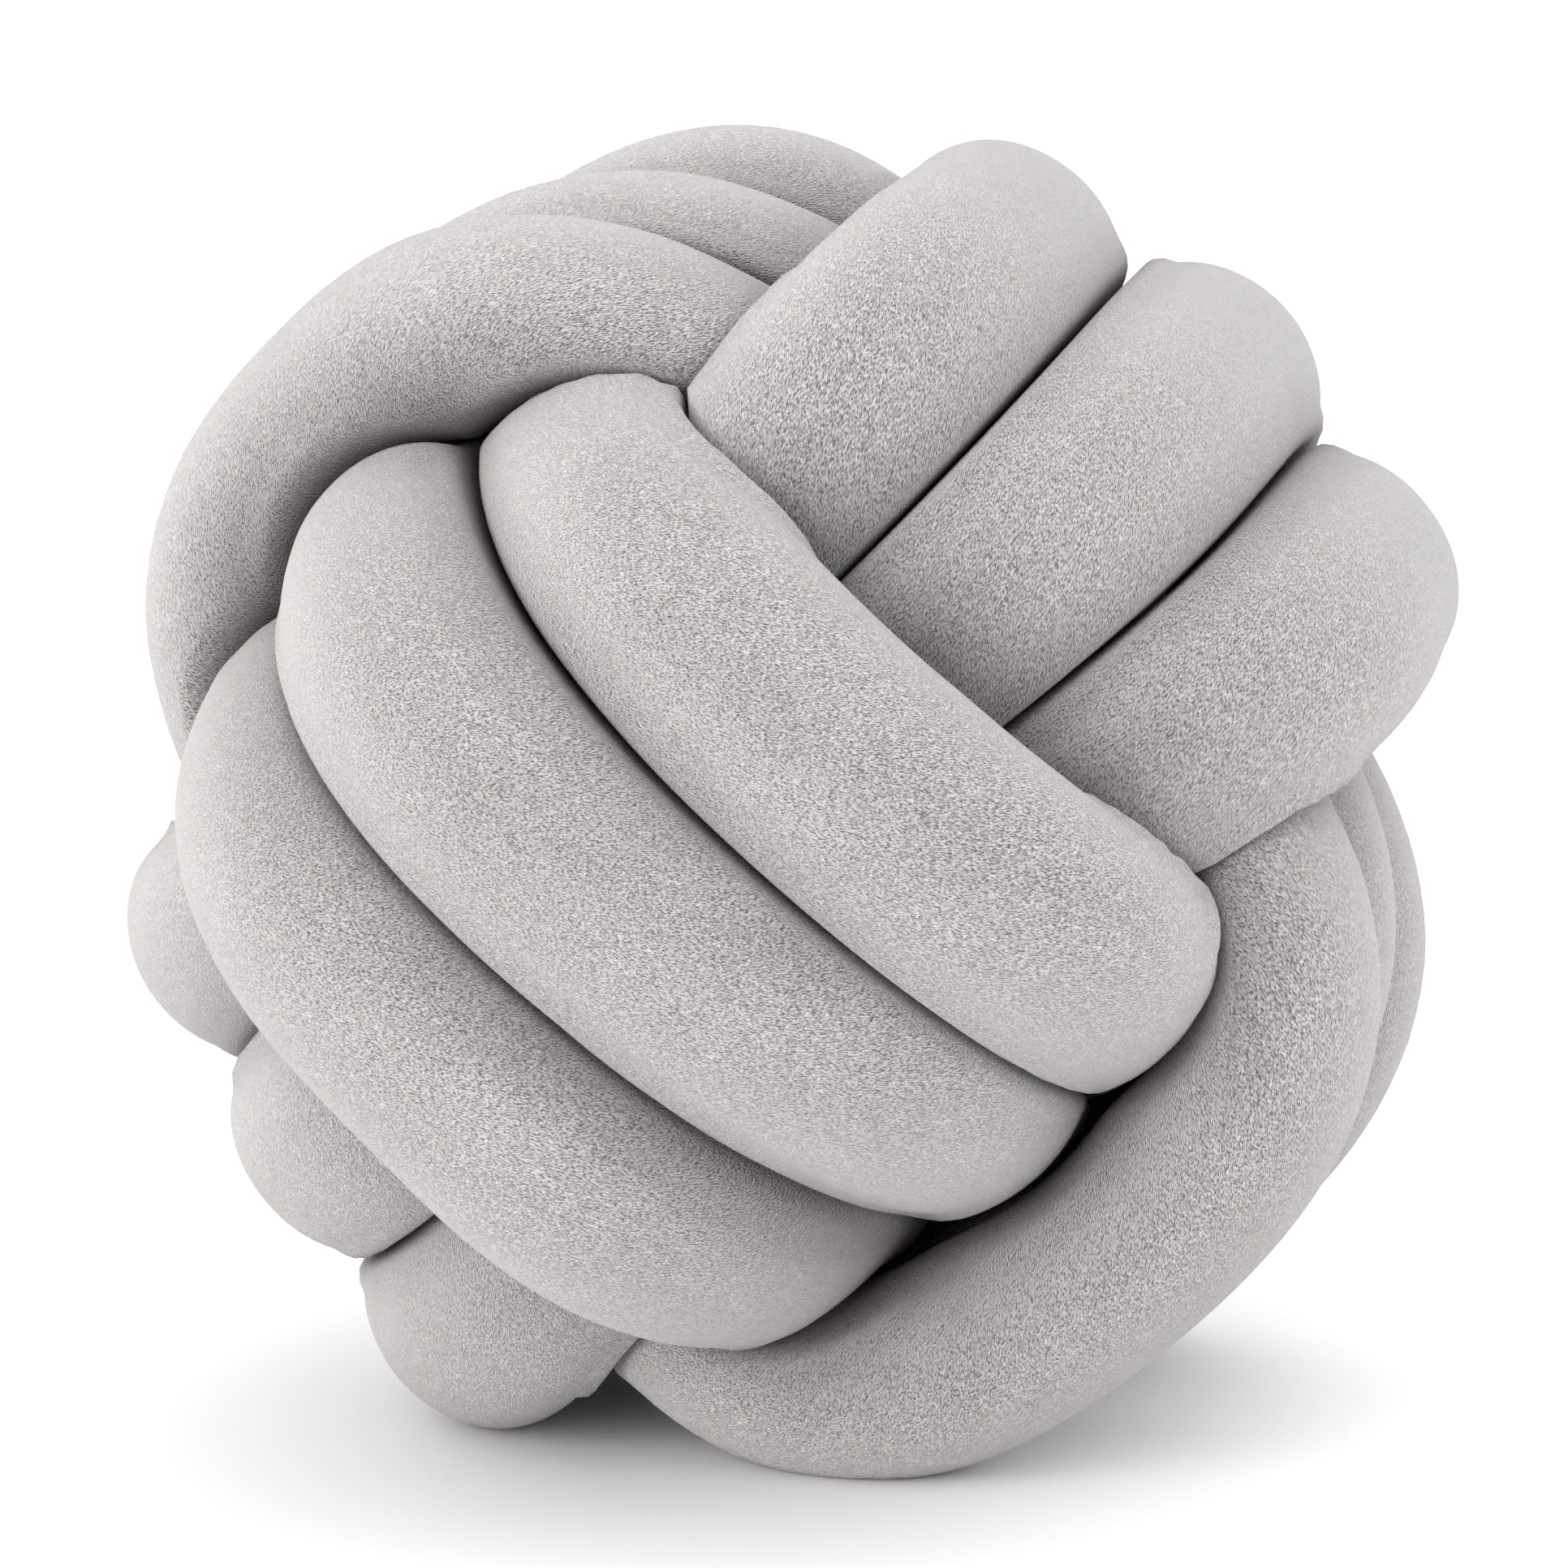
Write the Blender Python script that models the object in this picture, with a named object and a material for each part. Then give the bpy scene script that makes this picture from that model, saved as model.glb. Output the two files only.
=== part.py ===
"""Knot cushion: one long stuffed plush tube, wound in three sets of three turns as a ball knot.

The knot has three axes of its own, u, v and n. Each set of turns goes round the core: it
reaches out along one axis, where its ends show on the ball, runs along the next, and its
three turns lie side by side across the third. Every set passes over the next one and under
the one before it, and the tube goes from set to set through the core.
"""

from collections import namedtuple
from math import pi, radians

import bmesh
import bpy
import numpy as np
from mathutils import Euler
from mathutils.bvhtree import BVHTree

MM = 0.001
NAME = "knotted_tube"

# The stuffed tube, in millimetres.
TUBE_RADIUS = 19.6
BREADTH = 1.2  # the tube is this much broader than high, across its set,
PACKED_BREADTH = 1.45  # and this much towards a stretch that lies right beside it
TOUCHING = 1.25  # such a stretch is this near, in radii from the midplane between the two,
APART = 1.5  # and one this far away doesn't count
GAP = 1.2  # left between two stretches that press on each other, where they show
COVERED_GAP = 4.0  # and inside, where the sections are far apart
CLEARANCE = 0.15  # beyond the skin, for finding the last overlaps
RELIEF = 0.04  # share of its reach that an overlapping point is drawn in by at a time
FIRMNESS = 10  # how narrow the rounding is beside a pressed face
LEAST_FACING = 1e-6
TIP_LENGTH = 26.0
TIP_TAPER = 0.35

# How the knot lies, in degrees, and the depth of its flat spots on the surface below it.
LIE = (92.7, 49.0, -13.3)
FLAT_DEPTH = 3.0

# The mesh: sections along the tube, further apart where the turns are covered.
SECTIONS = 366
BEVEL_STEPS = 6
COVERED_SPACING = 1.4
COVERED_DEPTH = 70.0  # from the knot's middle
SHOWN_DEPTH = 85.0
SPACING_BLEND = 8  # fine steps over which the one spacing changes to the other
FINE_STEP = 2.5
ROUNDING_STEPS = 9

PLUSH_COLOUR = (0.50, 0.48, 0.475, 1.0)
PLUSH_ROUGHNESS = 0.95

# A set of turns: the knot axes (0 is u, 1 is v, 2 is n) that it reaches out along, runs
# along and lies across, how square its turns are, half of their run, and its middle.
TurnSet = namedtuple("TurnSet", "reach_axis run_axis across_axis square half_run middle")
SETS = {
    "front": TurnSet(2, 0, 1, 2.35, 70.0, (-3.5, -3.0, -2.5)),
    "right": TurnSet(1, 2, 0, 2.75, 66.0, (0.5, 2.0, 1.0)),
    "left": TurnSet(0, 1, 2, 2.65, 69.0, (6.0, -0.5, -3.0)),
}

# The exposed end of a turn, in millimetres: its reach from the middle, how much longer its
# run is than the covered one, its slide along the run, its offset across the set, how far
# it leans across from one end of the run to the other, and how far it bows.
BOW_MIDDLE = 0.3  # share of the bow by which its middle goes the other way
End = namedtuple("End", "reach longer slide offset lean bow")
ENDS = {
    ("front", 1, 1): End(108, 7, 14, 52, 10, 7),
    ("front", 1, -1): End(99, -1, 3, 47, -8, 16),
    ("front", 0, 1): End(112, 15, 4, 7, 14, 5),
    ("front", 0, -1): End(104, 21, 14, 3, -4, 6),
    ("front", -1, 1): End(109, 4, 8, -40, 6, -10),
    ("front", -1, -1): End(103, 5, 6, -42, -2, -7),
    ("right", 1, 1): End(104, 4, -1, 45, 5, 8),
    ("right", 1, -1): End(112, 11, -7, 41, -2, 14),
    ("right", 0, 1): End(104, 21, -13, -1, 3, 5),
    ("right", 0, -1): End(102, 19, 2, -3, 0, -3),
    ("right", -1, 1): End(95, 13, 0, -44, 4, -6),
    ("right", -1, -1): End(102, 10, -17, -49, 4, -14),
    ("left", 1, 1): End(100, 16, 5, 55, 2, 6),
    ("left", 1, -1): End(107, -4, -1, 42, 9, 14),
    ("left", 0, 1): End(97, 13, -1, 0, 1, 0),
    ("left", 0, -1): End(108, 13, -8, -2, 7, 4),
    ("left", -1, 1): End(104, 4, -3, -46, 2, -17),
    ("left", -1, -1): End(104, 13, 4, -47, 6, -11),
}

# Where a turn is covered, half-way between its ends.
COVERED_OFFSET = 27.0
COVERED_INSET = 7.0
COVERED_BLEND = 1.1

# The order in which the tube runs through the sets: the side on which it steps across from
# turn to turn, the way round that it goes, and the turn that comes first.
Stage = namedtuple("Stage", "set_name side way first_turn")
STAGES = (Stage("right", -1, -1, -1), Stage("front", 1, -1, -1), Stage("left", 1, 1, 1))
JOIN_ANGLE = 0.2
JOIN_REACH = 20  # points of a set that a link follows on from
STEP_ANGLE = 0.62
TURN_POINTS = 400

# What the tube passes inside the core, before, between and after the sets, in knot axes.
CORE_STOPS = (
    ((-18.0, -12.0, 8.0), (-20.0, -20.0, -18.0)),
    ((25.0, 4.0, -40.0), (21.0, -14.0, -16.0), (28.0, -26.0, 6.0)),
    ((43.0, 28.0, -4.0), (18.0, 23.0, 15.0), (-2.0, 32.0, 23.0)),
    ((4.0, 42.0, -25.0), (-15.0, 23.0, -17.0)),
)
LINK_POINTS = 20


def smooth_step(values):
    """0 below -1 and 1 above 1, with a smooth rise between."""
    t = np.clip((values + 1) / 2, 0, 1)
    return t * t * t * (t * (6 * t - 15) + 10)


def turn_line(set_name, turn, angles):
    """Centre line of one closed turn, in knot axes, by the angle from its outer end."""
    turns = SETS[set_name]
    cos, sin = np.cos(angles), np.sin(angles)
    out = np.sign(cos) * np.abs(cos) ** (2 / turns.square)
    along = np.sign(sin) * np.abs(sin) ** (2 / turns.square)
    shown = np.abs(out)
    at_end = np.abs(cos) ** COVERED_BLEND
    end = End(*(np.where(cos > 0, front, back)
                for front, back in zip(ENDS[set_name, turn, 1], ENDS[set_name, turn, -1])))
    inset = COVERED_INSET * abs(turn) * (1 - shown)
    line = np.zeros((len(angles), 3))
    line[:, turns.reach_axis] = out * end.reach
    line[:, turns.run_axis] = along * (turns.half_run + end.longer * shown - inset) + end.slide * shown
    line[:, turns.across_axis] = (end.offset * at_end + turn * COVERED_OFFSET * (1 - at_end)
                                  + shown * (end.lean * along + end.bow * (along ** 2 - BOW_MIDDLE)))
    return line + turns.middle


def set_line(stage):
    """The three turns of a set as one line, stepping across on a covered side."""
    swept = np.linspace(JOIN_ANGLE, 6 * pi - JOIN_ANGLE, 3 * TURN_POINTS)
    angles = stage.side * pi / 2 + stage.way * swept
    place = sum(smooth_step((swept - turns * 2 * pi) / STEP_ANGLE) for turns in (1, 2))
    line = np.zeros((len(swept), 3))
    for index, turn in enumerate((stage.first_turn, 0, -stage.first_turn)):
        weight = np.clip(1 - np.abs(place - index), 0, 1)
        line += weight[:, None] * turn_line(stage.set_name, turn, angles)
    return line


def curve_through(stops):
    """A smooth line through the stops, from the second one to the last but one."""
    stops = np.array(stops)
    ways = (stops[2:] - stops[:-2]) / 2
    t = np.linspace(0, 1, LINK_POINTS, endpoint=False)[:, None]
    pieces = [(2 * t ** 3 - 3 * t ** 2 + 1) * start + (t ** 3 - 2 * t ** 2 + t) * start_way
              + (3 * t ** 2 - 2 * t ** 3) * finish + (t ** 3 - t ** 2) * finish_way
              for start, finish, start_way, finish_way
              in zip(stops[1:-2], stops[2:-1], ways[:-1], ways[1:])]
    return np.concatenate(pieces)


def evenly(line):
    """The line again, its points a fine step apart."""
    lengths = np.linalg.norm(np.diff(line[:, :3], axis=0), axis=1)
    travelled = np.concatenate(([0], np.cumsum(lengths)))
    places = np.linspace(0, travelled[-1], round(travelled[-1] / FINE_STEP) + 1)
    return np.stack([np.interp(places, travelled, column) for column in line.T], axis=1)


def with_ways_across(line, start, finish):
    """The line's places, each with the way across its set, turning from one axis to another."""
    share = np.linspace(0, 1, len(line))[:, None]
    return np.hstack((line, (1 - share) * np.eye(3)[start] + share * np.eye(3)[finish]))


def centre_line():
    """The whole tube's places and ways across, at even fine steps, from tip to tip."""
    sets = [set_line(stage) for stage in STAGES]
    across = [SETS[stage.set_name].across_axis for stage in STAGES]
    tail_in, *links, tail_out = CORE_STOPS
    first, last = sets[0], sets[-1]
    lead_in = curve_through([2 * np.array(tail_in[0]) - tail_in[1], *tail_in, first[0],
                             first[JOIN_REACH]])
    lead_out = curve_through([last[-JOIN_REACH], last[-1], *tail_out,
                              2 * np.array(tail_out[-1]) - tail_out[-2]])
    parts = [with_ways_across(lead_in, across[0], across[0])]
    for line, after, stops, start, finish in zip(sets, sets[1:], links, across, across[1:]):
        link = curve_through([line[-JOIN_REACH], line[-1], *stops, after[0], after[JOIN_REACH]])
        parts += [with_ways_across(line, start, start), with_ways_across(link[1:], start, finish)]
    parts += [with_ways_across(last, across[-1], across[-1]),
              with_ways_across(lead_out[1:], across[-1], across[-1])]
    line = evenly(np.concatenate(parts))
    for _ in range(ROUNDING_STEPS):
        line[1:-1] = (line[:-2] + 2 * line[1:-1] + line[2:]) / 4
    return line


def section_centres(line):
    """The sections' centres and ways across, closer together where the tube shows."""
    depth = np.linalg.norm(line[1:, :3], axis=1)
    spacing = np.where(depth > COVERED_DEPTH, 1.0, COVERED_SPACING)
    window = np.ones(2 * SPACING_BLEND + 1) / (2 * SPACING_BLEND + 1)
    spacing = np.convolve(np.pad(spacing, SPACING_BLEND, mode="edge"), window, mode="valid")
    shares = np.concatenate(([0], np.cumsum(1 / spacing)))
    places = np.linspace(0, shares[-1], SECTIONS)
    sections = np.stack([np.interp(places, shares, column) for column in line.T], axis=1)
    return sections[:, :3], sections[:, 3:]


def round_tube(centres):
    """A curve object along the centres, bevelled round and narrowed at its two tips."""
    curve = bpy.data.curves.new(NAME, "CURVE")
    curve.dimensions = "3D"
    curve.bevel_depth = TUBE_RADIUS * MM
    curve.bevel_resolution = BEVEL_STEPS
    spline = curve.splines.new("POLY")
    spline.points.add(len(centres) - 1)
    steps = np.linalg.norm(np.diff(centres, axis=0), axis=1)
    travelled = np.concatenate(([0], np.cumsum(steps)))
    to_tip = np.minimum(travelled, travelled[-1] - travelled)
    roundness = np.clip(to_tip / TIP_LENGTH, 0, 1)
    widths = TIP_TAPER + (1 - TIP_TAPER) * np.sqrt(roundness * (2 - roundness))
    for point, centre, width in zip(spline.points, centres, widths):
        point.co = (*(centre * MM), 1)
        point.radius = width
    return bpy.data.objects.new(NAME, curve)


def pressed(skin, centres, across, line):
    """How far each of the skin's points reaches along its spoke, and the spokes' ways.

    A point stays on its own side of the plane midway to every other stretch of the tube.
    """
    spokes = skin - centres[:, None]
    round_radii = np.linalg.norm(spokes, axis=2)
    ways = spokes / round_radii[:, :, None]
    broad = np.einsum("sij,sj->si", ways, across / np.linalg.norm(across, axis=1)[:, None]) ** 2
    depths = np.linalg.norm(centres, axis=1)
    gaps = np.interp(depths, (COVERED_DEPTH, SHOWN_DEPTH), (COVERED_GAP, GAP))
    reaches = np.empty_like(round_radii)
    for index, centre in enumerate(centres):
        apart = line[:, :3] - centre
        distance = np.linalg.norm(apart, axis=1)
        near = (distance > 2 * FINE_STEP) & (distance < 3 * TUBE_RADIUS)
        apart, distance = apart[near], distance[near]
        gap = gaps[index] * np.clip(distance / TUBE_RADIUS - 1, 0, 1)
        facing = np.maximum(ways[index] @ apart.T, LEAST_FACING)
        room = ((distance ** 2 - gap * distance) / (2 * facing)).min(axis=1)
        breadths = np.interp(room / TUBE_RADIUS, (TOUCHING, APART), (PACKED_BREADTH, BREADTH))
        radii = round_radii[index] / np.sqrt(1 - broad[index] + broad[index] / breadths ** 2)
        reaches[index] = (radii ** -FIRMNESS + room ** -FIRMNESS) ** (-1 / FIRMNESS)
    return reaches, ways


def overlapping(points, faces):
    """The points of the faces that cut through another face."""
    tree = BVHTree.FromPolygons([tuple(point) for point in points], faces)
    pairs = [(one, other) for one, other in tree.overlap(tree)
             if one < other and not set(faces[one]) & set(faces[other])]
    return {point for pair in pairs for face in pair for point in faces[face]}


def relieved(reaches, ways, centres):
    """The reaches again, drawn in a little wherever coarse faces still cut through each other."""
    rows, sides = reaches.shape
    faces = [(row * sides + side, row * sides + (side + 1) % sides,
              (row + 1) * sides + (side + 1) % sides, (row + 1) * sides + side)
             for row in range(rows - 1) for side in range(sides)]
    while True:
        points = centres[:, None] + ways * (reaches + CLEARANCE)[:, :, None]
        found = overlapping(points.reshape(-1, 3), faces)
        if not found:
            return reaches
        drawn = np.zeros(rows * sides)
        drawn[list(found)] = 1
        drawn = drawn.reshape(rows, sides)
        drawn = np.maximum(drawn, (np.roll(drawn, 1, 1) + np.roll(drawn, -1, 1)) / 2)
        drawn[1:-1] = np.maximum(drawn[1:-1], (drawn[:-2] + drawn[2:]) / 2)
        reaches = reaches * (1 - RELIEF * drawn)


def plush():
    material = bpy.data.materials.new("plush")
    material.use_nodes = True
    shader = material.node_tree.nodes["Principled BSDF"]
    shader.inputs["Base Color"].default_value = PLUSH_COLOUR
    shader.inputs["Roughness"].default_value = PLUSH_ROUGHNESS
    shader.inputs["Metallic"].default_value = 0.0
    return material


def knotted_tube(collection):
    """The tube as one closed solid, resting on its flat spots with the origin below its middle."""
    line = centre_line()
    centres, across = section_centres(line)
    tube = round_tube(centres)
    collection.objects.link(tube)
    evaluated = tube.evaluated_get(bpy.context.evaluated_depsgraph_get())
    mesh = bpy.data.meshes.new_from_object(evaluated)
    bpy.data.objects.remove(tube)

    coordinates = np.empty(len(mesh.vertices) * 3)
    mesh.vertices.foreach_get("co", coordinates)
    skin = coordinates.reshape(len(centres), -1, 3) / MM
    reaches, ways = pressed(skin, centres, across, line)
    reaches = relieved(reaches, ways, centres)
    points = (centres[:, None] + ways * reaches[:, :, None]).reshape(-1, 3)
    points = points @ np.array(Euler([radians(angle) for angle in LIE]).to_matrix()).T
    low, high = points.min(axis=0), points.max(axis=0)
    points -= ((low[0] + high[0]) / 2, (low[1] + high[1]) / 2, low[2] + FLAT_DEPTH)
    mesh.vertices.foreach_set("co", (points * MM).ravel())

    cushion = bmesh.new()
    cushion.from_mesh(mesh)
    bmesh.ops.bisect_plane(cushion, geom=[*cushion.verts, *cushion.edges, *cushion.faces],
                           plane_co=(0, 0, 0), plane_no=(0, 0, 1), clear_inner=True)
    bmesh.ops.holes_fill(cushion, edges=[edge for edge in cushion.edges if edge.is_boundary])
    bmesh.ops.recalc_face_normals(cushion, faces=cushion.faces)
    cushion.to_mesh(mesh)
    cushion.free()
    mesh.shade_smooth()
    mesh.materials.clear()
    mesh.materials.append(plush())
    collection.objects.link(bpy.data.objects.new(NAME, mesh))


def main():
    for item in list(bpy.data.objects):
        bpy.data.objects.remove(item)
    collection = bpy.data.collections.new("knot_cushion")
    bpy.context.scene.collection.children.link(collection)
    knotted_tube(collection)


main()
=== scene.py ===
"""Knot cushion, dressed: one long tube of short-pile plush, wound in three sets of three turns.

The tube runs through the knot as it does in the part: each set of turns reaches out along one
of the knot's own axes, runs along the next, and its three turns lie side by side across the
third. Here its skin is fine, soft and uneven, and the pile follows the cloth.
"""

from collections import namedtuple
from math import pi, radians, tan

import bmesh
import bpy
import numpy as np
from mathutils import Euler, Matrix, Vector, noise
from mathutils.bvhtree import BVHTree


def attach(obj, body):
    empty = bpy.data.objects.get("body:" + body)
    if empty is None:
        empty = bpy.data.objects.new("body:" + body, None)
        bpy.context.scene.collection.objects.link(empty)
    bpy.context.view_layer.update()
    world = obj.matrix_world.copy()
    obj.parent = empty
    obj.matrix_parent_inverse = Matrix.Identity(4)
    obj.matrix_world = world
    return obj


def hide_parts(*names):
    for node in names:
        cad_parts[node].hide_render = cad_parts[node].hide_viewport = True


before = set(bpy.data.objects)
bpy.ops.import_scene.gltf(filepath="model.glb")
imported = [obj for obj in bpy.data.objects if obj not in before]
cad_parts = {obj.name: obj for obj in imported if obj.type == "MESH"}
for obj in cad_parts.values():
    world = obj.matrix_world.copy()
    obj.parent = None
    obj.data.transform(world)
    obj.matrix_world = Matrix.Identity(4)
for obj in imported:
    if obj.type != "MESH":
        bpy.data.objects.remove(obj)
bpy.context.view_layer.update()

MM = 0.001

# The stuffed tube, in millimetres.
TUBE_RADIUS = 19.6
BREADTH = 1.2  # the tube is this much broader than high, across its set,
PACKED_BREADTH = 1.45  # and this much towards a stretch that lies right beside it
TOUCHING = 1.25  # such a stretch is this near, in radii from the midplane between the two,
APART = 1.5  # and one this far away doesn't count
GAP = 0.5  # left between two stretches that press on each other
OWN_POINTS = 2  # points of the centre line on either side that don't press on a section
PRESS_REACH = 3  # tube radii from its middle within which the other points press on it
FIRMNESS = 12  # how narrow the rounding is beside a pressed face
LEAST_FACING = 1e-6  # keeps a point that faces away from a stretch out of a division by zero
TIP_LENGTH = 26.0  # over which the tube narrows at either end
TIP_TAPER = 0.35  # the share of its width that is left at the very tip

# Where stretches still cut through each other, their points are drawn in, round after round.
CLEARANCE = 0.05  # beyond the skin, for finding the last overlaps
RELIEF = 0.012  # share of its reach that an overlapping point is drawn in by at a time
RELIEF_ROUNDS = 30  # at most
RELIEF_SPREAD = 4  # points on every side that are drawn in with it,
RELIEF_FALLOFF = 0.8  # each by this share of the one before

# The uneven stuffing: how wide its lumps are and how far they push the skin, in millimetres.
BROAD_LUMP = 34.0
BROAD_PUSH = 0.55
SMALL_LUMP = 13.0
SMALL_PUSH = 0.16
LUMP_SHIFT = (5, 5, 5)  # so that the small lumps don't follow the broad ones

PILE_ANGLE = 30  # degrees between the pile and the tube
SHELTER_REACH = 90.0  # millimetres within which a stretch adds to the shade painted on another

# How the knot lies, in degrees, and how far it settles on the floor.
LIE = (92.7, 49.0, -13.3)
SETTLED = 3.0

# The cloth's mesh: rings along the tube, further apart where the turns are covered.
RINGS = 1450
BEVEL_STEPS = 32
COVERED_SPACING = 2.5  # times the spacing where the tube shows
COVERED_DEPTH = 70.0  # millimetres from the knot's middle, within which the tube is covered
SPACING_BLEND = 8  # points on either side over which the spacing changes
FINE_STEP = 2.5  # millimetres between the points of the centre line
ROUNDING_STEPS = 9  # times that the centre line is evened out

TurnSet = namedtuple("TurnSet", "reach_axis run_axis across_axis square half_run middle")
SETS = {
    "front": TurnSet(2, 0, 1, 2.35, 70.0, (-3.5, -3.0, -2.5)),
    "right": TurnSet(1, 2, 0, 2.75, 66.0, (0.5, 2.0, 1.0)),
    "left": TurnSet(0, 1, 2, 2.65, 69.0, (6.0, -0.5, -3.0)),
}

# The exposed end of a turn: its reach, how much longer its run is than the covered one, its
# slide along the run, its offset across the set, its lean and its bow, in millimetres.
End = namedtuple("End", "reach longer slide offset lean bow")
ENDS = {
    ("front", 1, 1): End(108, 7, 14, 52, 10, 7),
    ("front", 1, -1): End(99, -1, 3, 47, -8, 16),
    ("front", 0, 1): End(112, 15, 4, 7, 14, 5),
    ("front", 0, -1): End(104, 21, 14, 3, -4, 6),
    ("front", -1, 1): End(109, 4, 8, -40, 6, -10),
    ("front", -1, -1): End(103, 5, 6, -42, -2, -7),
    ("right", 1, 1): End(104, 4, -1, 45, 5, 8),
    ("right", 1, -1): End(112, 11, -7, 41, -2, 14),
    ("right", 0, 1): End(104, 21, -13, -1, 3, 5),
    ("right", 0, -1): End(102, 19, 2, -3, 0, -3),
    ("right", -1, 1): End(95, 13, 0, -44, 4, -6),
    ("right", -1, -1): End(102, 10, -17, -49, 4, -14),
    ("left", 1, 1): End(100, 16, 5, 55, 2, 6),
    ("left", 1, -1): End(107, -4, -1, 42, 9, 14),
    ("left", 0, 1): End(97, 13, -1, 0, 1, 0),
    ("left", 0, -1): End(108, 13, -8, -2, 7, 4),
    ("left", -1, 1): End(104, 4, -3, -46, 2, -17),
    ("left", -1, -1): End(104, 13, 4, -47, 6, -11),
}

BOW_MIDDLE = 0.3  # share of the bow by which its middle goes the other way

# Between its two ends a turn runs covered by the other sets.
COVERED_OFFSET = 27.0  # millimetres between neighbouring turns
COVERED_INSET = 7.0  # by which the outer turns run shorter than the middle one
COVERED_BLEND = 1.1  # how soon an end's own offset gives way to the covered one

# The order in which the tube runs through the sets.
Stage = namedtuple("Stage", "set_name side way first_turn")
STAGES = (Stage("right", -1, -1, -1), Stage("front", 1, -1, -1), Stage("left", 1, 1, 1))
JOIN_ANGLE = 0.2  # radians that a set leaves out at either end, for the way in and out
JOIN_REACH = 20  # points into a set, from which a way in or out takes its direction
STEP_ANGLE = 0.62  # radians on either side over which one turn steps across to the next
TURN_POINTS = 400

# What the tube passes inside the core, before, between and after the sets.
CORE_STOPS = (
    ((-18.0, -12.0, 8.0), (-20.0, -20.0, -18.0)),
    ((25.0, 4.0, -40.0), (21.0, -14.0, -16.0), (28.0, -26.0, 6.0)),
    ((43.0, 28.0, -4.0), (18.0, 23.0, 15.0), (-2.0, 32.0, 23.0)),
    ((4.0, 42.0, -25.0), (-15.0, 23.0, -17.0)),
)
LINK_POINTS = 20

# The camera, in metres and degrees, from the knot's middle.
CAMERA_DISTANCE = 1.193
CAMERA_AZIMUTH = 0.30
CAMERA_ELEVATION = 9.49
CAMERA_ROLL = -1.84
CAMERA_AIM = (0.0023, 0.0, -0.0014)
CAMERA_LENS = 145.45


def smooth_step(values):
    """0 below -1 and 1 above 1, with a smooth rise between."""
    t = np.clip((values + 1) / 2, 0, 1)
    return t * t * t * (t * (6 * t - 15) + 10)


def turn_line(set_name, turn, angles):
    """Centre line of one closed turn, in knot axes, by the angle from its outer end."""
    turns = SETS[set_name]
    cos, sin = np.cos(angles), np.sin(angles)
    out = np.sign(cos) * np.abs(cos) ** (2 / turns.square)
    along = np.sign(sin) * np.abs(sin) ** (2 / turns.square)
    shown = np.abs(out)
    at_end = np.abs(cos) ** COVERED_BLEND
    end = End(*(np.where(cos > 0, front, back)
                for front, back in zip(ENDS[set_name, turn, 1], ENDS[set_name, turn, -1])))
    inset = COVERED_INSET * abs(turn) * (1 - shown)
    half_run = turns.half_run + end.longer * shown - inset
    bowed = end.lean * along + end.bow * (along ** 2 - BOW_MIDDLE)
    line = np.zeros((len(angles), 3))
    line[:, turns.reach_axis] = out * end.reach
    line[:, turns.run_axis] = along * half_run + end.slide * shown
    line[:, turns.across_axis] = (end.offset * at_end + turn * COVERED_OFFSET * (1 - at_end)
                                  + shown * bowed)
    return line + turns.middle


def set_line(stage):
    """The three turns of a set as one line, stepping across on a covered side."""
    swept = np.linspace(JOIN_ANGLE, 6 * pi - JOIN_ANGLE, 3 * TURN_POINTS)
    angles = stage.side * pi / 2 + stage.way * swept
    place = sum(smooth_step((swept - turns * 2 * pi) / STEP_ANGLE) for turns in (1, 2))
    line = np.zeros((len(swept), 3))
    for index, turn in enumerate((stage.first_turn, 0, -stage.first_turn)):
        weight = np.clip(1 - np.abs(place - index), 0, 1)
        line += weight[:, None] * turn_line(stage.set_name, turn, angles)
    return line


def curve_through(stops):
    """A smooth line through the stops, from the second one to the last but one."""
    stops = np.array(stops)
    ways = (stops[2:] - stops[:-2]) / 2
    t = np.linspace(0, 1, LINK_POINTS, endpoint=False)[:, None]
    pieces = [(2 * t ** 3 - 3 * t ** 2 + 1) * start + (t ** 3 - 2 * t ** 2 + t) * start_way
              + (3 * t ** 2 - 2 * t ** 3) * finish + (t ** 3 - t ** 2) * finish_way
              for start, finish, start_way, finish_way
              in zip(stops[1:-2], stops[2:-1], ways[:-1], ways[1:])]
    return np.concatenate(pieces)


def evenly(line):
    """The line again, its points a fine step apart."""
    lengths = np.linalg.norm(np.diff(line[:, :3], axis=0), axis=1)
    travelled = np.concatenate(([0], np.cumsum(lengths)))
    places = np.linspace(0, travelled[-1], round(travelled[-1] / FINE_STEP) + 1)
    return np.stack([np.interp(places, travelled, column) for column in line.T], axis=1)


def with_ways_across(line, start, finish):
    """The line's places, each with the way across its set, turning from one axis to another."""
    share = np.linspace(0, 1, len(line))[:, None]
    return np.hstack((line, (1 - share) * np.eye(3)[start] + share * np.eye(3)[finish]))


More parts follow.
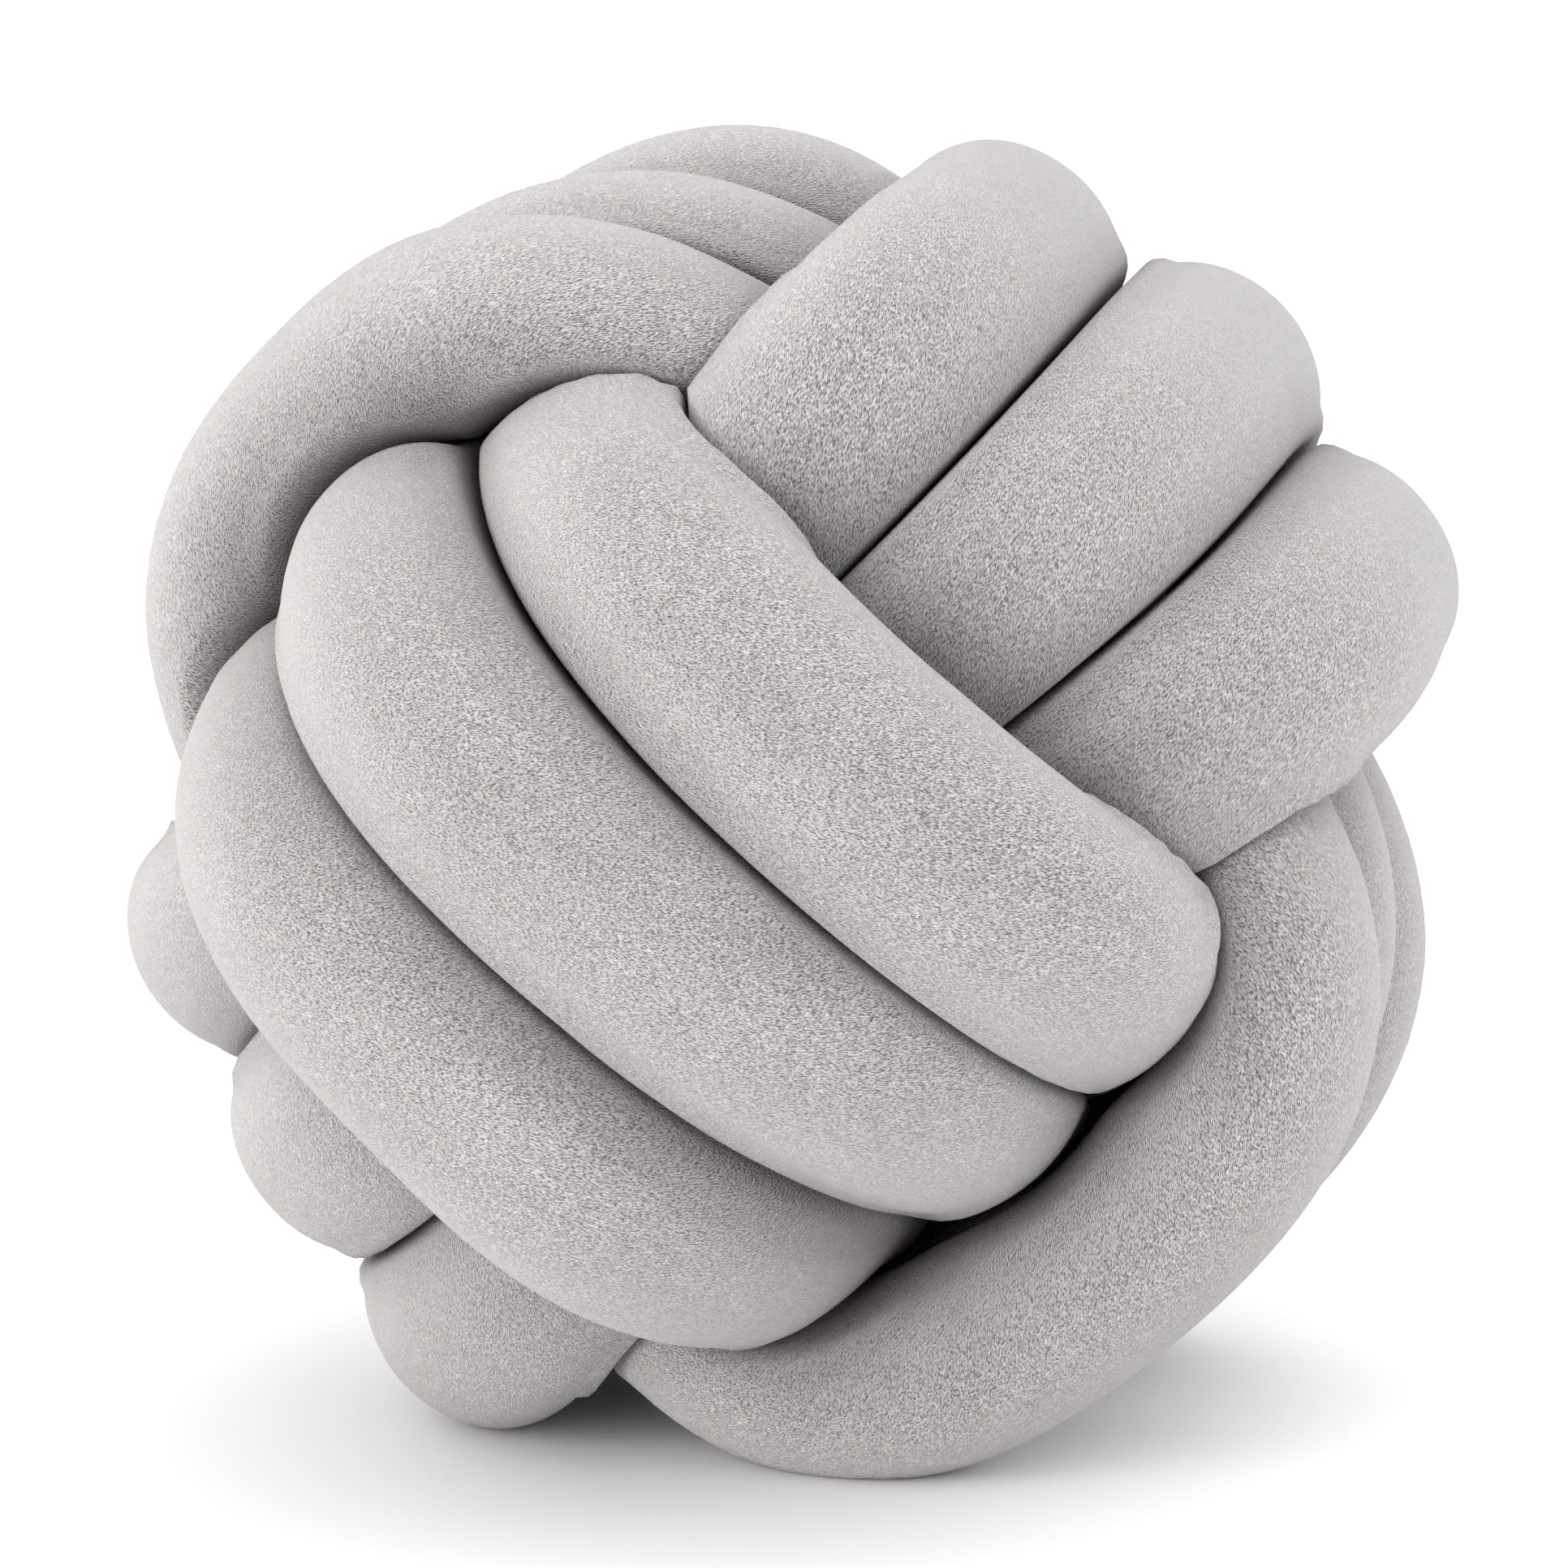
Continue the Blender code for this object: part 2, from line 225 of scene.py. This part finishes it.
def centre_line():
    """The whole tube's places and ways across, at even fine steps, from tip to tip."""
    sets = [set_line(stage) for stage in STAGES]
    across = [SETS[stage.set_name].across_axis for stage in STAGES]
    tail_in, *links, tail_out = CORE_STOPS
    first, last = sets[0], sets[-1]
    lead_in = curve_through([2 * np.array(tail_in[0]) - tail_in[1], *tail_in, first[0],
                             first[JOIN_REACH]])
    lead_out = curve_through([last[-JOIN_REACH], last[-1], *tail_out,
                              2 * np.array(tail_out[-1]) - tail_out[-2]])
    parts = [with_ways_across(lead_in, across[0], across[0])]
    for line, after, stops, start, finish in zip(sets, sets[1:], links, across, across[1:]):
        link = curve_through([line[-JOIN_REACH], line[-1], *stops, after[0], after[JOIN_REACH]])
        parts += [with_ways_across(line, start, start), with_ways_across(link[1:], start, finish)]
    parts += [with_ways_across(last, across[-1], across[-1]),
              with_ways_across(lead_out[1:], across[-1], across[-1])]
    line = evenly(np.concatenate(parts))
    for _ in range(ROUNDING_STEPS):
        line[1:-1] = (line[:-2] + 2 * line[1:-1] + line[2:]) / 4
    return line


def ring_centres(line):
    """The rings' centres and ways across, closer together where the tube shows."""
    depth = np.linalg.norm(line[1:, :3], axis=1)
    spacing = np.where(depth > COVERED_DEPTH, 1.0, COVERED_SPACING)
    window = np.ones(2 * SPACING_BLEND + 1) / (2 * SPACING_BLEND + 1)
    spacing = np.convolve(np.pad(spacing, SPACING_BLEND, mode="edge"), window, mode="valid")
    shares = np.concatenate(([0], np.cumsum(1 / spacing)))
    places = np.linspace(0, shares[-1], RINGS)
    rings = np.stack([np.interp(places, shares, column) for column in line.T], axis=1)
    return rings[:, :3], rings[:, 3:]


def round_tube(centres):
    """A curve object along the centres, bevelled round and narrowed at its two tips."""
    curve = bpy.data.curves.new("plush_tube", "CURVE")
    curve.dimensions = "3D"
    curve.bevel_depth = TUBE_RADIUS * MM
    curve.bevel_resolution = BEVEL_STEPS
    spline = curve.splines.new("POLY")
    spline.points.add(len(centres) - 1)
    steps = np.linalg.norm(np.diff(centres, axis=0), axis=1)
    travelled = np.concatenate(([0], np.cumsum(steps)))
    to_tip = np.minimum(travelled, travelled[-1] - travelled)
    roundness = np.clip(to_tip / TIP_LENGTH, 0, 1)
    widths = TIP_TAPER + (1 - TIP_TAPER) * np.sqrt(roundness * (2 - roundness))
    for point, centre, width in zip(spline.points, centres, widths):
        point.co = (*(centre * MM), 1)
        point.radius = width
    return bpy.data.objects.new("plush_tube", curve), travelled


def pressed(skin, centres, across, line, lumps):
    """How far each of the skin's points reaches along its spoke, and the spokes' ways.

    The tube is broad across its set, and flat where it presses on another stretch.
    """
    spokes = skin - centres[:, None]
    round_radii = np.linalg.norm(spokes, axis=2)
    ways = spokes / round_radii[:, :, None]
    broad = np.einsum("sij,sj->si", ways, across / np.linalg.norm(across, axis=1)[:, None]) ** 2
    reaches = np.empty_like(round_radii)
    for index, centre in enumerate(centres):
        apart = line[:, :3] - centre
        distance = np.linalg.norm(apart, axis=1)
        near = (distance > OWN_POINTS * FINE_STEP) & (distance < PRESS_REACH * TUBE_RADIUS)
        apart, distance = apart[near], distance[near]
        gap = GAP * np.clip(distance / TUBE_RADIUS - 1, 0, 1)
        facing = np.maximum(ways[index] @ apart.T, LEAST_FACING)
        room = ((distance ** 2 - gap * distance) / (2 * facing)).min(axis=1)
        breadths = np.interp(room / TUBE_RADIUS, (TOUCHING, APART), (PACKED_BREADTH, BREADTH))
        narrowed = np.sqrt(1 - broad[index] + broad[index] / breadths ** 2)
        radii = round_radii[index] / narrowed + lumps[index]
        reaches[index] = (radii ** -FIRMNESS + room ** -FIRMNESS) ** (-1 / FIRMNESS)
    return reaches, ways


def overlapping(points, faces):
    """The points of the faces that cut through another face."""
    tree = BVHTree.FromPolygons([tuple(point) for point in points], faces)
    pairs = [(one, other) for one, other in tree.overlap(tree)
             if one < other and not set(faces[one]) & set(faces[other])]
    return {point for pair in pairs for face in pair for point in faces[face]}


def relieved(reaches, ways, centres):
    """The reaches again, drawn in a little wherever two stretches still cut through each other."""
    rows, sides = reaches.shape
    faces = [(row * sides + side, row * sides + (side + 1) % sides,
              (row + 1) * sides + (side + 1) % sides, (row + 1) * sides + side)
             for row in range(rows - 1) for side in range(sides)]
    for _ in range(RELIEF_ROUNDS):
        points = centres[:, None] + ways * (reaches + CLEARANCE)[:, :, None]
        found = overlapping(points.reshape(-1, 3), faces)
        if not found:
            break
        drawn = np.zeros(rows * sides)
        drawn[list(found)] = 1
        drawn = drawn.reshape(rows, sides)
        for _ in range(RELIEF_SPREAD):
            beside = np.maximum(np.roll(drawn, 1, 1), np.roll(drawn, -1, 1))
            drawn = np.maximum(drawn, RELIEF_FALLOFF * beside)
            along = np.maximum(drawn[:-2], drawn[2:])
            drawn[1:-1] = np.maximum(drawn[1:-1], RELIEF_FALLOFF * along)
        reaches = reaches * (1 - RELIEF * drawn)
    return reaches


def shelter(points, ways, line):
    """The share of what each point of the cloth faces that other stretches take up."""
    taken = np.empty(points.shape[:2])
    for index, (ring, out) in enumerate(zip(points, ways)):
        near = line[np.linalg.norm(line - ring.mean(axis=0), axis=1) < SHELTER_REACH]
        apart = near - ring[:, None]
        distance = np.maximum(np.linalg.norm(apart, axis=2), TUBE_RADIUS)
        facing = np.einsum("snj,sj->sn", apart, out) / distance
        taken[index] = (np.maximum(facing, 0) / distance ** 2).sum(axis=1)
    return np.clip(taken * 2 * TUBE_RADIUS * FINE_STEP / pi, 0, 1)


def stuffing_lumps(skin):
    """How far the stuffing pushes each point of the skin out or lets it sink, in millimetres."""
    flat = skin.reshape(-1, 3)
    shift = Vector(LUMP_SHIFT)
    broad = [noise.noise(Vector(point) / BROAD_LUMP) for point in flat]
    small = [noise.noise(Vector(point) / SMALL_LUMP + shift) for point in flat]
    pushes = BROAD_PUSH * np.array(broad) + SMALL_PUSH * np.array(small)
    return pushes.reshape(skin.shape[:2])


def untied_places(travelled, sides):
    """Where each point of the cloth lay on the straight tube, before it was tied, in metres.

    The places are turned so that the third axis runs with the pile.
    """
    along = np.repeat(travelled, sides)
    angles = np.tile(np.arange(sides) / sides * 2 * pi, len(travelled))
    angles += along / TUBE_RADIUS * tan(radians(PILE_ANGLE))
    around = np.cos(angles) * TUBE_RADIUS, np.sin(angles) * TUBE_RADIUS
    return np.stack((*around, along), axis=1) * MM


def plush_tube(finish):
    """The whole tube as one closed skin, and where the knot's middle is."""
    line = centre_line()
    centres, across = ring_centres(line)
    tube, travelled = round_tube(centres)
    bpy.context.scene.collection.objects.link(tube)
    evaluated = tube.evaluated_get(bpy.context.evaluated_depsgraph_get())
    mesh = bpy.data.meshes.new_from_object(evaluated)
    bpy.data.objects.remove(tube)

    coordinates = np.empty(len(mesh.vertices) * 3)
    mesh.vertices.foreach_get("co", coordinates)
    skin = coordinates.reshape(len(centres), -1, 3) / MM
    reaches, ways = pressed(skin, centres, across, line, stuffing_lumps(skin))
    reaches = relieved(reaches, ways, centres)
    points = centres[:, None] + ways * reaches[:, :, None]
    # How much other stretches shelter each point, for the shade painted into the cloth's colour.
    painted_shade_share = shelter(points, ways, line[:, :3])
    lie = np.array(Euler([radians(angle) for angle in LIE]).to_matrix())
    points = points.reshape(-1, 3) @ lie.T
    low, high = points.min(axis=0), points.max(axis=0)
    middle = -np.array(((low[0] + high[0]) / 2, (low[1] + high[1]) / 2, low[2] + SETTLED))
    points += middle
    points[:, 2] = np.maximum(points[:, 2], 0)
    mesh.vertices.foreach_set("co", (points * MM).ravel())

    places = mesh.attributes.new("untied", "FLOAT_VECTOR", "POINT")
    places.data.foreach_set("vector", untied_places(travelled, skin.shape[1]).ravel())
    shares = mesh.attributes.new("painted_shade_share", "FLOAT", "POINT")
    shares.data.foreach_set("value", painted_shade_share.ravel())

    cushion = bmesh.new()
    cushion.from_mesh(mesh)
    bmesh.ops.holes_fill(cushion, edges=[edge for edge in cushion.edges if edge.is_boundary])
    bmesh.ops.recalc_face_normals(cushion, faces=cushion.faces)
    cushion.to_mesh(mesh)
    cushion.free()
    mesh.shade_smooth()
    mesh.materials.clear()
    mesh.materials.append(finish)
    piece = bpy.data.objects.new("plush_tube", mesh)
    bpy.context.scene.collection.objects.link(piece)
    return piece, Vector(middle * MM)


def short_pile_plush():
    """Warm grey plush: tufts under a millimetre, brushed patches and a soft sheen at the edges.

    The sheen is partly the shader's own and partly painted into the colour; shade is painted
    into the colour where other stretches shelter the cloth.
    """
    material = bpy.data.materials.new("short_pile_plush")
    material.use_nodes = True
    nodes, links = material.node_tree.nodes, material.node_tree.links
    shader = nodes["Principled BSDF"]
    shader.inputs["Roughness"].default_value = 0.92
    shader.inputs["Specular IOR Level"].default_value = 0.15
    shader.inputs["Sheen Weight"].default_value = 1.0
    shader.inputs["Sheen Roughness"].default_value = 0.4
    shader.inputs["Sheen Tint"].default_value = (1.0, 0.97, 0.96, 1.0)

    cloth = nodes.new("ShaderNodeAttribute")
    cloth.attribute_name = "untied"

    def grain(scale, detail, along):
        place = nodes.new("ShaderNodeMapping")
        place.inputs["Scale"].default_value = (1.0, 1.0, along)
        pattern = nodes.new("ShaderNodeTexNoise")
        pattern.inputs["Scale"].default_value = scale
        pattern.inputs["Detail"].default_value = detail
        pattern.inputs["Roughness"].default_value = 0.5
        links.new(cloth.outputs["Vector"], place.inputs["Vector"])
        links.new(place.outputs["Vector"], pattern.inputs["Vector"])
        return pattern.outputs["Fac"]

    tufts = grain(4300, 1.0, 0.5)
    brushed = grain(38, 3.0, 1.0)

    shade = nodes.new("ShaderNodeValToRGB")
    shade.color_ramp.elements[0].position = 0.36
    shade.color_ramp.elements[0].color = (0.13, 0.10, 0.112, 1.0)
    shade.color_ramp.elements[1].position = 0.6
    shade.color_ramp.elements[1].color = (0.76, 0.728, 0.725, 1.0)
    links.new(tufts, shade.inputs["Fac"])

    patches = nodes.new("ShaderNodeMapRange")
    patches.inputs["From Min"].default_value = 0.3
    patches.inputs["From Max"].default_value = 0.7
    patches.inputs["To Min"].default_value = 0.93
    patches.inputs["To Max"].default_value = 1.07
    links.new(brushed, patches.inputs["Value"])
    patched = nodes.new("ShaderNodeVectorMath")
    patched.operation = "SCALE"
    links.new(shade.outputs["Color"], patched.inputs[0])
    links.new(patches.outputs["Result"], patched.inputs["Scale"])

    # Painted sheen: where the cloth is seen from the side, a pale colour is painted into its own,
    # for the smooth sheen that the tips of the pile close up to.
    tips = nodes.new("ShaderNodeLayerWeight")
    sheen = nodes.new("ShaderNodeMapRange")
    sheen.interpolation_type = "SMOOTHSTEP"
    sheen.inputs["From Min"].default_value = 0.1
    sheen.inputs["From Max"].default_value = 0.95
    sheen.inputs["To Max"].default_value = 0.8
    links.new(tips.outputs["Facing"], sheen.inputs["Value"])
    # The cloth's colour with the painted sheen mixed in.
    pile = nodes.new("ShaderNodeMix")
    pile.data_type = "RGBA"
    pile.inputs["B"].default_value = (0.84, 0.82, 0.815, 1.0)
    links.new(sheen.outputs["Result"], pile.inputs["Factor"])
    links.new(patched.outputs["Vector"], pile.inputs["A"])

    # Painted shade: the cloth's colour is darkened where other stretches shelter it from the
    # light.
    painted_shade_share = nodes.new("ShaderNodeAttribute")
    painted_shade_share.attribute_name = "painted_shade_share"
    # From the cloth's own colour to the darkest painted shade.
    depth = nodes.new("ShaderNodeValToRGB")
    depth.color_ramp.elements[0].color = (1.0, 1.0, 1.0, 1.0)
    depth.color_ramp.elements[1].position = 0.8
    depth.color_ramp.elements[1].color = (0.17, 0.12, 0.155, 1.0)
    links.new(painted_shade_share.outputs["Fac"], depth.inputs["Fac"])
    painted_shade_colour = nodes.new("ShaderNodeVectorMath")
    painted_shade_colour.operation = "MULTIPLY"
    links.new(pile.outputs["Result"], painted_shade_colour.inputs[0])
    links.new(depth.outputs["Color"], painted_shade_colour.inputs[1])
    links.new(painted_shade_colour.outputs["Vector"], shader.inputs["Base Color"])

    relief = nodes.new("ShaderNodeBump")
    relief.inputs["Strength"].default_value = 1.0
    relief.inputs["Distance"].default_value = 0.002
    links.new(tufts, relief.inputs["Height"])
    links.new(relief.outputs["Normal"], shader.inputs["Normal"])
    return material


def pale_floor():
    """A wide plain floor, in one smooth pale finish."""
    floor = bmesh.new()
    bmesh.ops.create_circle(floor, cap_ends=True, segments=96, radius=30.0)
    mesh = bpy.data.meshes.new("floor")
    floor.to_mesh(mesh)
    floor.free()
    material = bpy.data.materials.new("pale_floor")
    material.use_nodes = True
    shader = material.node_tree.nodes["Principled BSDF"]
    shader.inputs["Base Color"].default_value = (0.92, 0.92, 0.92, 1.0)
    shader.inputs["Roughness"].default_value = 0.9
    shader.inputs["Specular IOR Level"].default_value = 0.1
    mesh.materials.append(material)
    piece = bpy.data.objects.new("floor", mesh)
    bpy.context.scene.collection.objects.link(piece)


def soft_light(name, towards, spread, strength, colour):
    """Even light from one side, soft because it comes from a wide angle."""
    lamp = bpy.data.lights.new(name, "SUN")
    lamp.energy = strength
    lamp.angle = radians(spread)
    lamp.color = colour
    piece = bpy.data.objects.new(name, lamp)
    piece.rotation_euler = Vector(towards).to_track_quat("-Z", "Y").to_euler()
    bpy.context.scene.collection.objects.link(piece)


def studio():
    """White light from all round, brightest from above and the right, and a soft key light.

    The key light comes from the front left, nearly level.
    """
    world = bpy.data.worlds.new("studio")
    world.use_nodes = True
    nodes, links = world.node_tree.nodes, world.node_tree.links
    place = nodes.new("ShaderNodeTexCoord")
    side = nodes.new("ShaderNodeVectorMath")
    side.operation = "DOT_PRODUCT"
    side.inputs[1].default_value = (0.64, 0.37, 0.67)
    links.new(place.outputs["Generated"], side.inputs[0])
    walls = nodes.new("ShaderNodeMapRange")
    walls.inputs["From Min"].default_value = -1.0
    walls.inputs["From Max"].default_value = 1.0
    walls.inputs["To Min"].default_value = 0.36
    walls.inputs["To Max"].default_value = 1.9
    links.new(side.outputs["Value"], walls.inputs["Value"])
    links.new(walls.outputs["Result"], nodes["Background"].inputs["Strength"])
    nodes["Background"].inputs["Color"].default_value = (1.0, 1.0, 1.0, 1.0)
    bpy.context.scene.world = world
    soft_light("key", towards=(0.85, 0.85, -0.1), spread=60, strength=2.9,
               colour=(1.0, 0.985, 0.975))
    bpy.context.scene.view_settings.view_transform = "Standard"
    bpy.context.scene.view_settings.look = "None"


def camera(middle):
    """The photograph's view of the knot's middle."""
    lens = bpy.data.cameras.new("camera")
    lens.lens = CAMERA_LENS
    lens.sensor_width = 36.0
    lens.clip_start = 0.05
    lens.clip_end = 100.0
    piece = bpy.data.objects.new("camera", lens)
    turned = Euler((radians(90 - CAMERA_ELEVATION), 0.0, radians(CAMERA_AZIMUTH))).to_matrix()
    piece.location = middle + turned @ Vector((0.0, 0.0, CAMERA_DISTANCE))
    sight = middle + Vector(CAMERA_AIM) - piece.location
    level = sight.to_track_quat("-Z", "Y").to_matrix()
    roll = Euler((0.0, 0.0, radians(CAMERA_ROLL))).to_matrix()
    piece.rotation_euler = (level @ roll).to_euler()
    bpy.context.scene.collection.objects.link(piece)
    bpy.context.scene.camera = piece


tube, knot_middle = plush_tube(short_pile_plush())
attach(tube, "root")
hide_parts("knotted_tube")

pale_floor()
studio()
camera(knot_middle)
